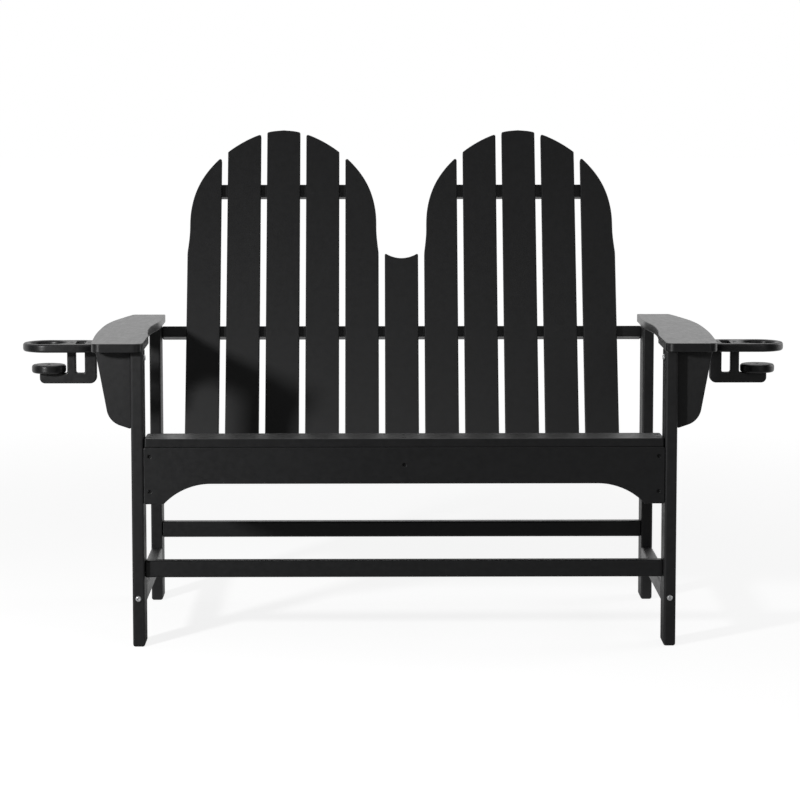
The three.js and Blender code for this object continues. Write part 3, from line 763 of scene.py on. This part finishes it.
# %% Draw the arch
def spline(points, per_span):
    """A smooth curve through the points."""
    out = []
    for i in range(len(points) - 1):
        p = [Vector(points[max(0, min(len(points) - 1, i + k))][:2]) for k in (-1, 0, 1, 2)]
        for s in range(per_span):
            t = s / per_span
            m1, m2 = (p[2] - p[0]) / 2, (p[3] - p[1]) / 2
            q = (p[1] * (2 * t**3 - 3 * t**2 + 1) + m1 * (t**3 - 2 * t**2 + t)
                 + p[2] * (3 * t**2 - 2 * t**3) + m2 * (t**3 - t**2))
            out.append((q.x, q.y))
    return out + [tuple(points[-1][:2])]


fan_half = (FAN_SLATS * PITCH - SLAT_GAP) / 2
fan_centre = (FAN_SLATS + 1) * PITCH / 2
CROWN, ARCH = 730.1, 322.1
arch_shares = [(0, 0), (0.1294, 0.0096), (0.2587, 0.0366), (0.3795, 0.0765), (0.4873, 0.1227),
               (0.5865, 0.1751), (0.6727, 0.229), (0.7503, 0.2891), (0.815, 0.3499), (0.8689, 0.414),
               (0.9099, 0.4788), (0.9401, 0.5448), (0.9603, 0.6105), (0.972, 0.6728), (0.9763, 0.7366),
               (0.9767, 0.7955), (0.9806, 0.8513), (0.9901, 0.9194), (0.9987, 0.9706), (1, 1)]
half = spline([(x * fan_half, CROWN - drop * ARCH) for x, drop in arch_shares], 4)
fan_edge = [(-x, y) for x, y in reversed(half[1:])] + half
print("arch drawn with", len(fan_edge), "points, half width", round(fan_half, 1), "mm")

# %% [markdown]
# ## Cutting the slats
# An inner slat of a fan has two sawn corners on top. The outer slats end in the arch itself, which
# runs down their outer edge as a soft shoulder, so there the arch's own points are kept.

# %% Cut and stand the slats
SLAT_FOOT, SLAT_ROUND = 148.0, 4.0
DISH_TOP, DISH_DEEP, DISH_ROUND, DISH_STEPS = 414.3, 12.8, 3.0, 8


def slat_top(left, right):
    inner, outer = left + SLAT_ROUND, right - SLAT_ROUND
    top = [(x, y, 0.0) for x, y in fan_edge if inner < x < outer]
    if left > SLAT_ROUND - fan_half:
        first = [(left, height_at(fan_edge, left), SLAT_ROUND)]
    else:
        first = [(x, y, 0.0) for x, y in fan_edge if x <= inner]
    if right < fan_half - SLAT_ROUND:
        last = [(right, height_at(fan_edge, right), SLAT_ROUND)]
    else:
        last = [(x, y, 0.0) for x, y in fan_edge if x >= outer]
    return list(reversed(first + top + last))


def dished_top():
    shares_across = [k / DISH_STEPS - 1 for k in range(2 * DISH_STEPS + 1)]
    return [(-t * SLAT / 2, DISH_TOP - DISH_DEEP * (1 - t * t), DISH_ROUND if abs(t) == 1 else 0.0)
            for t in shares_across]


for i in range(SLATS):
    middle = (i - FAN_SLATS) * PITCH
    local = middle + math.copysign(fan_centre, FAN_SLATS - i) if i != FAN_SLATS else 0.0
    left, right = local - SLAT / 2, local + SLAT / 2
    top = dished_top() if i == FAN_SLATS else slat_top(left, right)
    outline = [(left, -SLAT_FOOT), (right, -SLAT_FOOT)] + top
    outline = [(p[0] + middle - local, *p[1:]) for p in outline]
    lay_board("back_slat_%02d" % (i + 1), eased(outline), BOARD, BACK @ facing(BOARD))
print("slats standing:", SLATS)

# %% [markdown]
# ## Rails behind the slats
# From the front the rails show only in the gaps, but they carry the back: one at the seat, one at
# arm height between the rear legs, and one across each fan. The slats are screwed on from behind,
# two screws to a crossing, so their fronts stay clean. A short rail's last screws move in from its
# ends, and one that would still come too near an end is left out.

# %% Back rails and their screws
BEHIND = BOARD + GAP
FOOT_RAIL, ARM_RAIL, FAN_RAIL, FAN_RAIL_SHORT = 60.0, 27.0, 32.0, 36.0
FOOT_RAIL_LOW, FAN_RAIL_LOW, BELOW_ARM = -134.0, 563.5, 2.3
PAIR, FROM_END, NO_SCREW = 16, 22, 8
arm_low = (LEG_HEIGHT - BELOW_ARM - BACK_Z + BEHIND * math.sin(LEAN)) / math.cos(LEAN) - ARM_RAIL
rails = [("back_rail_foot", 0.0, BETWEEN, FOOT_RAIL_LOW, FOOT_RAIL, STOCK),
         ("back_rail_arm", 0.0, ACROSS, arm_low, ARM_RAIL, STOCK)]
fan_reach = fan_half - FAN_RAIL_SHORT
for word, sign in SIDES:
    rails.append(("back_rail_fan_" + word, sign * fan_centre, fan_reach, FAN_RAIL_LOW, FAN_RAIL, BOARD))
back_up = (BACK.to_3x3() @ Vector((0, 1, 0))).normalized()


def crossings(mid, reach):
    if not mid:
        return [(i - FAN_SLATS) * PITCH for i in range(SLATS)]
    inside = reach - FROM_END
    return [max(mid - inside, min(mid + inside, mid + k * PITCH)) for k in range(-2, 3)]


for node, mid, reach, low, height, thick in rails:
    across = [x + dx for x in crossings(mid, reach) for dx in (-PAIR, PAIR)]
    holes = [(x, low + height / 2) for x in across if abs(x - mid) < reach - NO_SCREW]
    outline = eased(rectangle(mid - reach, low, mid + reach, low + height))
    place = BACK @ Matrix.Translation((0, BEHIND, 0)) @ facing(thick)
    lay_board(node, outline, thick, place, screw_holes(holes), PLANED, CRISP_EASE)
    screw_spots += [(BACK @ Vector((x, BEHIND + thick - SCREW_DEEP, z)), back_up, ACROSS_X) for x, z in holes]
print("screws planned so far:", len(screw_spots))

# %% [markdown]
# ## Arms and brackets
# Each arm is one wide board: rounded in front, bowed on the outside, with a shallow scallop inside
# where the elbow goes. A spline through a few points of its plan gives both long edges. The
# bracket under its front end is a tapered board with one generously rounded corner.

# %% Arms and their brackets
ARM_FRONT, ARM_REAR, ARM_WIDTH, ARM_OVERHANG = 38, 51, 125.0, 3.3
FRONT_ROUND, REAR_ROUND = 20.0, 11.0
BRACKET_Y, BRACKET_TOP, BRACKET_FOOT, BRACKET_ROUND = 24.0, 79.2, 50.2, 44.0
BRACKET_INSIDE_DROP, BRACKET_OUTSIDE_DROP = 177.5, 160.5
ARM_LENGTH = ARM_FRONT + LEG_SETBACK + LEG_DEPTH + ARM_REAR
ARM_INNER = LEG_INSIDE - ARM_OVERHANG - GAP
outer_shares = [(0, 0.9), (0.0775, 0.935), (0.281, 0.987), (0.441, 1), (0.625, 0.98), (0.751, 0.914),
                (0.838, 0.83), (0.893, 0.764), (0.937, 0.716), (1, 0.625)]
inner_shares = [(1, 0), (0.766, 0.004), (0.669, 0.05), (0.582, 0.095), (0.48, 0.1), (0.378, 0.07),
                (0.281, 0.02), (0.242, 0.008), (0, 0.008)]


def arm_edge(edge_shares, first, last):
    curve = spline([(ARM_INNER + w * ARM_WIDTH, l * ARM_LENGTH - ARM_FRONT) for l, w in edge_shares], 6)
    radii = [first] + [0.0] * (len(curve) - 2) + [last]
    return [(x, y, radius) for (x, y), radius in zip(curve, radii)]


arm = arm_edge(outer_shares, FRONT_ROUND, REAR_ROUND) + arm_edge(inner_shares, CORNER, FRONT_ROUND)
beside_leg = LEG_FACE + GAP
bracket = [(beside_leg, LEG_HEIGHT - BRACKET_INSIDE_DROP),
           (beside_leg + BRACKET_FOOT, LEG_HEIGHT - BRACKET_OUTSIDE_DROP, BRACKET_ROUND),
           (beside_leg + BRACKET_TOP, LEG_HEIGHT), (beside_leg, LEG_HEIGHT)]
on_legs = BENCH @ Matrix.Translation((0, 0, LEG_HEIGHT + GAP))
under_arm = BENCH @ Matrix.Translation((0, BRACKET_Y, 0)) @ facing(BOARD)
for word, sign in SIDES:
    lay_board("arm_" + word, eased(mirrored(arm, sign)), BOARD, on_legs, (), PLANED, CRISP_EASE)
    lay_board("arm_bracket_" + word, eased(mirrored(bracket, sign)), BOARD, under_arm)
print("arms are", round(ARM_LENGTH), "mm long")

# %% [markdown]
# ## Cup holders
# An oval plate under each arm has a round hole for a cup and a slot for a telephone. Below it
# hangs a board with a notch that the telephone stands in, and on its bar lies a round coaster.
# The plate is the one board with large holes, so its faces are filled round them.

# %% Sizes of a cup holder
PLATE, OVAL_STEPS, PLATE_LAP, PLATE_Y = 116.6, 28, 23.7, 150
RING, COASTER, RING_STEPS = 83.0, 39, 56
SLOT_IN, SLOT_TO_CUP, SLOT_HALF, SLOT_REACH, SLOT_ROUND = 58.5, 71.8, 10.25, 37, 5.0
HANG_DROP, BAR, HANG_ROUND, NOTCH, TONGUE, HANG_IN, HANG_OUT = 74.5, 24, 15.0, 10, 30, 37, 20.8
cup_y = PLATE_Y + PLATE / 2
plate_in = ARM_INNER + ARM_WIDTH - PLATE_LAP
slot_x = plate_in + SLOT_IN
cup_x = slot_x + SLOT_TO_CUP
oval = []
for x, start in ((cup_x, -90), (plate_in + PLATE / 2, 90)):
    for k in range(OVAL_STEPS + 1):
        a = math.radians(start + 180 * k / OVAL_STEPS)
        oval.append((x + PLATE / 2 * math.cos(a), PLATE / 2 * math.sin(a), 0.0))
slot_hole = eased(rectangle(slot_x - SLOT_HALF, -SLOT_REACH, slot_x + SLOT_HALF, SLOT_REACH), SLOT_ROUND)
plate_z = LEG_HEIGHT - BOARD
hang_top = plate_z - GAP
hang_foot = hang_top - HANG_DROP
bar = hang_foot + BAR
hanger = [(slot_x - HANG_IN, hang_foot, HANG_ROUND), (cup_x + HANG_OUT, hang_foot, HANG_ROUND),
          (cup_x + HANG_OUT, bar), (slot_x + TONGUE, bar), (slot_x + TONGUE, hang_top),
          (slot_x + NOTCH, hang_top), (slot_x + NOTCH, bar), (slot_x - NOTCH, bar),
          (slot_x - NOTCH, hang_top), (slot_x - HANG_IN, hang_top)]
print("cup rings at x =", round(cup_x, 1), "mm")

# %% Cup holders
PLATE_SCREWS = (20, -22)
for word, sign in SIDES:
    at_cup = BENCH @ Matrix.Translation((0, cup_y, 0))
    heads = [(sign * (slot_x + dx), 0.0) for dx in PLATE_SCREWS]
    cup = sign * cup_x
    holes = [mirrored(hole, sign) for hole in (circle(cup_x, 0, RING / 2, RING_STEPS), slot_hole)]
    lay_board("cup_plate_" + word, mirrored(oval, sign), BOARD, at_cup @ Matrix.Translation((0, 0, plate_z)),
              holes + screw_holes(heads), POLISHED, LEG_EASE)
    lay_board("cup_hanger_" + word, eased(mirrored(hanger, sign)), BOARD,
              at_cup @ Matrix.Translation((0, -BOARD / 2, 0)) @ facing(BOARD), (), POLISHED)
    lay_board("cup_coaster_" + word, circle(cup, 0, COASTER, RING_STEPS), BOARD,
              at_cup @ Matrix.Translation((0, 0, bar + GAP)), screw_holes([(cup, 0)]), POLISHED, LEG_EASE)
    deep_in = [(x, LEG_HEIGHT - SCREW_DEEP) for x, y in heads] + [(cup, bar + GAP + BOARD - SCREW_DEEP)]
    screw_spots += [(at_cup @ Vector((x, 0, z)), (0, 0, 1), ACROSS_X) for x, z in deep_in]
print("screws planned in all:", len(screw_spots))

# %% [markdown]
# ## Screws and bolts
# A screw head is a small dark disc with a cross in it, below the surface in its hole. A bolt has a
# bright domed head with a six-sided socket. Both are turned shapes: a profile spun round an axis,
# with the driver's recess as the inner part. Then the tree above lays them all.

# %% Turned heads
SHARP_EDGE = math.radians(40)


def turned_head(name, profile, count, recess, recess_deep):
    """recess gives the radius of the driver's recess for each angle."""
    points, faces = [], []
    for r, z in profile:
        points += [(r * math.cos(a), r * math.sin(a), z) for a in around(count)]
    for row in range(0, (len(profile) - 1) * count, count):
        for k in range(count):
            a, b = row + k, row + (k + 1) % count
            faces.append((a, b, b + count, a + count))
    faces.append(tuple(reversed(range(count))))
    base = len(points)
    top = profile[-1][1]
    for z in (top, top - recess_deep):
        points += [(recess(a) * math.cos(a), recess(a) * math.sin(a), z) for a in around(count)]
    for k in range(count):
        n = (k + 1) % count
        faces.append((base - count + k, base - count + n, base + n, base + k))
        faces.append((base + k, base + n, base + count + n, base + count + k))
    faces.append(tuple(base + count + k for k in range(count)))
    mesh = bpy.data.meshes.new(name)
    mesh.from_pydata([(x * MM, y * MM, z * MM) for x, y, z in points], [], faces)
    mesh.polygons.foreach_set("use_smooth", [True] * len(mesh.polygons))
    mesh.set_sharp_from_angle(angle=SHARP_EDGE)
    return bpy.data.objects.new(name, mesh)


def hexagon(radius):
    return lambda a: radius * math.cos(math.pi / 6) / math.cos((a % (math.pi / 3)) - math.pi / 6)


def cross(radius, width):
    def reach(a):
        a = (a + math.pi / 4) % (math.pi / 2) - math.pi / 4
        return min(radius, width / max(1e-6, abs(math.sin(a))))
    return reach


# Each pair is the radius and the height of one ring of the profile, in millimetres.
disc = [(2.2, -3.0), (4.0, -0.35), (4.05, -0.1), (3.9, 0.0), (2.6, 0.05)]
screw_head = turned_head("screw_head", disc, 32, cross(2.1, 0.55), 0.9)
slopes = [math.radians(d) for d in (12, 28, 45, 62, 78, 90)]
dome = [(4.0, 0.0), (6.5, 0.0), (6.5, 1.3)]
dome += [(3.9 + 2.6 * math.cos(a), 1.5 + 3.0 * math.sin(a)) for a in slopes]
bolt_head = turned_head("bolt_head", dome, 36, hexagon(3.4), 3.4)
print("faces of a screw head and a bolt head:", len(screw_head.data.polygons), len(bolt_head.data.polygons))

# %% [markdown]
# ## Where the bolts sit
# Each side has five: two in the legs' narrow faces hold the side bar, two deep in the bores hold
# the cross bars, and one inside the front leg, just under the arm, holds the bracket. The list
# gives each bolt's node, its place and the way that its head looks.

# %% Bolts and screws
SIDE_BOLT_Z, SUNK, ARM_BOLT_DROP = 109, 5.5, 18
bolts, names = [], []
for word, sign in SIDES:
    mid, sunk = sign * (LEG_INSIDE + STOCK / 2), sign * (LEG_FACE - SUNK)
    inside = (sign * (LEG_INSIDE - GAP), BRACKET_Y + BOARD / 2, LEG_HEIGHT - ARM_BOLT_DROP)
    for node, spot, up, along in (
            ("side_bolt_front_", (mid, -GAP, SIDE_BOLT_Z), (0, -1, 0), ACROSS_X),
            ("side_bolt_rear_", (mid, LEG_SETBACK + LEG_DEPTH + GAP, SIDE_BOLT_Z), (0, 1, 0), ACROSS_X),
            ("stretcher_bolt_front_", (sunk, FRONT_BAR_Y + STOCK / 2, CROSS_Z), (sign, 0, 0), (0, 1, 0)),
            ("stretcher_bolt_rear_", (sunk, REAR_BAR_Y + STOCK / 2, CROSS_Z), (sign, 0, 0), (0, 1, 0)),
            ("bracket_bolt_", inside, (-sign, 0, 0), (0, 1, 0))):
        bolts.append((BENCH @ Vector(spot), up, along))
        names.append(node + word)
lay_copies("bright_bolts", bolts, bolt_head, steel, names)
lay_copies("dark_screws", screw_spots, screw_head, dark, (), turn=math.tau, seed=11)

# %% [markdown]
# ## Floor
# The photograph is a cut-out on white, so the floor has to look almost white and still show the
# shadow. Its paint throws back less light than the camera sees of it, so that the boards stay
# dark, and it glows for the camera, more and more towards the distance. In gloss the floor is
# bright only behind the bench, where a white backdrop would stand.

# %% Floor
FLOOR_HALF, FLOOR_Z = 30, -0.0004
PAINT, PAINT_SEEN = 0.38, 0.42
floor_edge = rectangle(-FLOOR_HALF, -FLOOR_HALF, FLOOR_HALF, FLOOR_HALF)
floor_mesh = bpy.data.meshes.new("pale_floor")
floor_mesh.from_pydata([(x, y, FLOOR_Z) for x, y in floor_edge], [], [(0, 1, 2, 3)])
floor = bpy.data.objects.new("pale_floor", floor_mesh)
bpy.context.collection.objects.link(floor)
floor_finish = bpy.data.materials.new("pale_floor_paint")
floor_finish.use_nodes = True
tree = floor_finish.node_tree
tree.nodes.clear()
where = add(tree, "ShaderNodeTexCoord", -1100, -200).outputs["Object"]
away = add(tree, "ShaderNodeVectorMath", -900, -200, operation="LENGTH")
feed(tree, where, away.inputs[0])
spot = add(tree, "ShaderNodeSeparateXYZ", -900, -450)
feed(tree, where, spot.inputs[0])
far = ramp(tree, away.outputs["Value"], (1.2, 5.0, 0.85, 0.985), -700, -200)
rearward = ramp(tree, spot.outputs["Y"], (-0.3, 0.85, 0.09, 0.9), -700, -450)
seen = add(tree, "ShaderNodeLightPath", -700, 0)
in_view = math_node(tree, "MULTIPLY", seen.outputs["Is Camera Ray"], PAINT_SEEN, -500, 200)
paint = add(tree, "ShaderNodeBsdfDiffuse", -200, 200)
feed(tree, math_node(tree, "MAXIMUM", in_view, PAINT, -350, 200), paint.inputs["Color"])
shown = math_node(tree, "MULTIPLY", seen.outputs["Is Camera Ray"], far, -450, -100)
gloss = math_node(tree, "MULTIPLY", seen.outputs["Is Glossy Ray"], rearward, -450, -300)
glow = add(tree, "ShaderNodeEmission", -200, -100)
feed(tree, math_node(tree, "ADD", shown, gloss, -300, -200), glow.inputs["Strength"])
both = add(tree, "ShaderNodeAddShader", 0, 0)
feed(tree, paint.outputs[0], both.inputs[0])
feed(tree, glow.outputs[0], both.inputs[1])
feed(tree, both.outputs[0], add(tree, "ShaderNodeOutputMaterial", 200, 0).inputs["Surface"])
floor_mesh.materials.append(floor_finish)
print("floor paint:", floor_finish.name)

# %% [markdown]
# ## White room
# Round the bench is a white room. The camera sees it at full strength, gloss sees it bright only
# behind the bench, and it lights the boards very softly, so that the lamps do the work.

# %% White room
world = bpy.data.worlds.new("white_room")
bpy.context.scene.world = world
world.use_nodes = True
tree = world.node_tree
sky = tree.nodes["Background"]
feed(tree, (1, 1, 1, 1), sky.inputs["Color"])
seen = add(tree, "ShaderNodeLightPath", -900, 0)
direction = add(tree, "ShaderNodeSeparateXYZ", -900, -300)
feed(tree, add(tree, "ShaderNodeTexCoord", -1100, -300).outputs["Generated"], direction.inputs[0])
behind = ramp(tree, direction.outputs["Y"], (-0.15, 0.55, 0.035, 1.05), -700, -300)
mirrored_ray, clear_ray = seen.outputs["Is Glossy Ray"], seen.outputs["Is Transmission Ray"]
gloss = math_node(tree, "MAXIMUM", mirrored_ray, clear_ray, -700, 0)
gloss = math_node(tree, "MULTIPLY", gloss, behind, -500, -100)
soft = math_node(tree, "MULTIPLY", behind, 0.12, -500, -300)
light = math_node(tree, "MAXIMUM", gloss, soft, -350, -150)
feed(tree, math_node(tree, "MAXIMUM", seen.outputs["Is Camera Ray"], light, -200, 0), sky.inputs["Strength"])
print("world:", world.name)

# %% [markdown]
# ## Lamps
# One small lamp from the left front throws the arm's shadow on the slats, and weak soft lamps fill
# it from the right, from above and from the side. Their strengths were found by rendering each
# lamp alone and weighing the pictures against the greys of the boards.

# %% Lamps
LAMPS = {"key_from_left_front": ((-2.15, -2.83, 1.45), (-0.15, 0.0, 0.6), 68, 0.26),
         "soft_from_right_front": ((1.9, -3.3, 1.5), (0.5, 0.0, 0.5), 7, 1.2),
         "fill_above_front": ((0.2, -3.9, 4.5), (0, 0, 0.75), 10, 3.0),
         "soft_overhead": ((0.4, 0.9, 5.2), (0, 0, 0), 10, 4.0),
         "soft_from_right": ((4.4, 1.4, 1.9), (0.3, 0.2, 0.5), 30, 2.4)}
for name, (place, aim, watts, size) in LAMPS.items():
    data = bpy.data.lights.new(name, "AREA")
    data.energy, data.size = watts, size
    holder = bpy.data.objects.new(name, data)
    holder.location = place
    holder.rotation_euler = (Vector(aim) - Vector(place)).to_track_quat("-Z", "Y").to_euler()
    holder.visible_camera = False
    bpy.context.collection.objects.link(holder)
print("lamps:", {name: lamp[2] for name, lamp in LAMPS.items()})

# %% [markdown]
# ## Camera
# A fit of the legs, slats and arms tells where the photograph was taken: from far off and a little
# above the arms, looking slightly down. The lens is given by its length in pixels of that picture.

# %% Camera
PICTURE, LENS_PIXELS, SENSOR = 800, 3041, 36
CAMERA_X, CAMERA_AWAY, CAMERA_Z = -0.0696, 6.690, 1.328
LOOK_DOWN, ROLL, LOOK_RIGHT = 0.1151, 0.0004, -0.009
camera = bpy.data.objects.new("photo_camera", bpy.data.cameras.new("photo_camera"))
bpy.context.collection.objects.link(camera)
camera.location = (CAMERA_X, -CAMERA_AWAY + FRONT_Y * MM, CAMERA_Z)
camera.rotation_euler = Euler((math.pi / 2 - LOOK_DOWN, ROLL, LOOK_RIGHT))
camera.data.sensor_width = SENSOR
camera.data.lens = LENS_PIXELS / PICTURE * SENSOR
camera.data.clip_end = 200
bpy.context.scene.camera = camera
bpy.context.scene.view_settings.view_transform = "Standard"
print("lens", round(camera.data.lens, 1), "mm, pieces made:", len(made))
